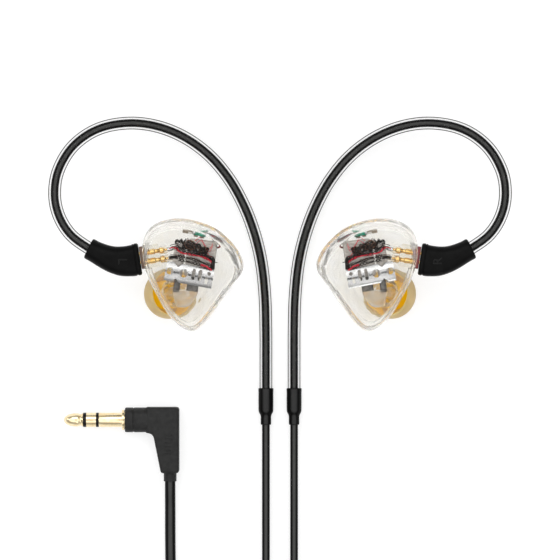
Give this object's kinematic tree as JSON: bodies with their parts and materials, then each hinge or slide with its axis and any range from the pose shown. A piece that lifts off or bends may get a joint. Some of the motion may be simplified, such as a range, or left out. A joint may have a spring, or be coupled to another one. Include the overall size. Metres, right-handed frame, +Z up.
{
  "type": "in-ear monitors",
  "caption": "Clear-shelled in-ear monitors lying flat, with silicone tips, two-pin connectors, formed ear hooks and a coiled cable with chin slider and right-angle stereo plug.",
  "frame": {"origin": "on the table, midway between the two earpieces and midway between the tops of the ear hooks and the ends of their sleeves", "axes": "+X from the left earpiece to the right one, +Y from the sleeves to the tops of the ear hooks, +Z up, out of the faceplates"},
  "size_m": [0.1188, 0.1728, 0.0183],
  "materials": {
    "clear_resin": "clear cast resin, polished",
    "filter_mesh": "fine woven mesh",
    "amber_silicone": "translucent amber silicone",
    "cream_silicone": "translucent cream silicone",
    "driver_steel": "satin",
    "polished_steel": "mirror polished",
    "circuit_green": "solder mask",
    "red_enamel": "enamelled fine wire",
    "black_enamel": "enamelled fine wire",
    "frosted_resin": "frosted",
    "gold_plate": "gold plated, polished",
    "insert_brown": "satin",
    "insert_red": "satin",
    "boot_rubber": "soft matte moulding",
    "clear_tube": "clear shrink tube",
    "cable_black": "semi-gloss cable jacket",
    "plug_black": "lightly textured moulding",
    "jack_black": "gloss"
  },
  "bodies": {
    "cable_harness": {"left_boot": "boot_rubber", "left_plug_insert": "insert_brown", "left_upper_pin": "gold_plate", "left_lower_pin": "gold_plate", "left_hook_tube": "clear_tube", "left_hook_cable": "cable_black", "left_sleeve": "boot_rubber", "left_leg_cable": "cable_black", "left_leg_tail": "cable_black", "right_boot": "boot_rubber", "right_plug_insert": "insert_red", "right_upper_pin": "gold_plate", "right_lower_pin": "gold_plate", "right_hook_tube": "clear_tube", "right_hook_cable": "cable_black", "right_sleeve": "boot_rubber", "right_leg_cable": "cable_black", "right_leg_tail": "cable_black", "leg_coil": "cable_black", "y_splitter": "boot_rubber", "main_cable": "cable_black", "main_coil": "cable_black", "plug_cable": "cable_black", "plug_body": "plug_black", "jack_sleeve": "gold_plate", "jack_insulator": "jack_black", "jack_ring": "gold_plate", "jack_tip": "gold_plate"},
    "left_earpiece": {"left_shell": "clear_resin", "left_faceplate": "clear_resin", "left_nozzle_filter": "filter_mesh", "left_socket_block": "frosted_resin", "left_upper_contact": "gold_plate", "left_lower_contact": "gold_plate", "left_bass_driver": "driver_steel", "left_treble_driver": "driver_steel", "left_waveguide": "frosted_resin", "left_badge_plate": "polished_steel", "left_crossover_board": "circuit_green", "left_red_wire": "red_enamel", "left_black_wire": "black_enamel"},
    "right_earpiece": {"right_shell": "clear_resin", "right_faceplate": "clear_resin", "right_nozzle_filter": "filter_mesh", "right_socket_block": "frosted_resin", "right_upper_contact": "gold_plate", "right_lower_contact": "gold_plate", "right_bass_driver": "driver_steel", "right_treble_driver": "driver_steel", "right_waveguide": "frosted_resin", "right_badge_plate": "polished_steel", "right_crossover_board": "circuit_green", "right_red_wire": "red_enamel", "right_black_wire": "black_enamel"},
    "left_eartip": {"left_tip_skirt": "cream_silicone", "left_tip_core": "amber_silicone"},
    "right_eartip": {"right_tip_skirt": "cream_silicone", "right_tip_core": "amber_silicone"},
    "chin_slider": {"chin_slider": "boot_rubber"}
  },
  "joints": [
    {"name": "left_two_pin_pull", "type": "slide", "parent": "cable_harness", "child": "left_earpiece", "axis": [0.989, 0.1478, 0], "range_m": [0, 0.006]},
    {"name": "right_two_pin_pull", "type": "slide", "parent": "cable_harness", "child": "right_earpiece", "axis": [-0.989, 0.1478, 0], "range_m": [0, 0.006]},
    {"name": "left_eartip_pull", "type": "slide", "parent": "left_earpiece", "child": "left_eartip", "axis": [-0.449, -0.0998, -0.888], "range_m": [0, 0.006]},
    {"name": "right_eartip_pull", "type": "slide", "parent": "right_earpiece", "child": "right_eartip", "axis": [0.449, -0.0998, -0.888], "range_m": [0, 0.006]},
    {"name": "chin_slider_slide", "type": "slide", "parent": "cable_harness", "child": "chin_slider", "axis": [0, 1, 0], "range_m": [0, 0.034]}
  ]
}
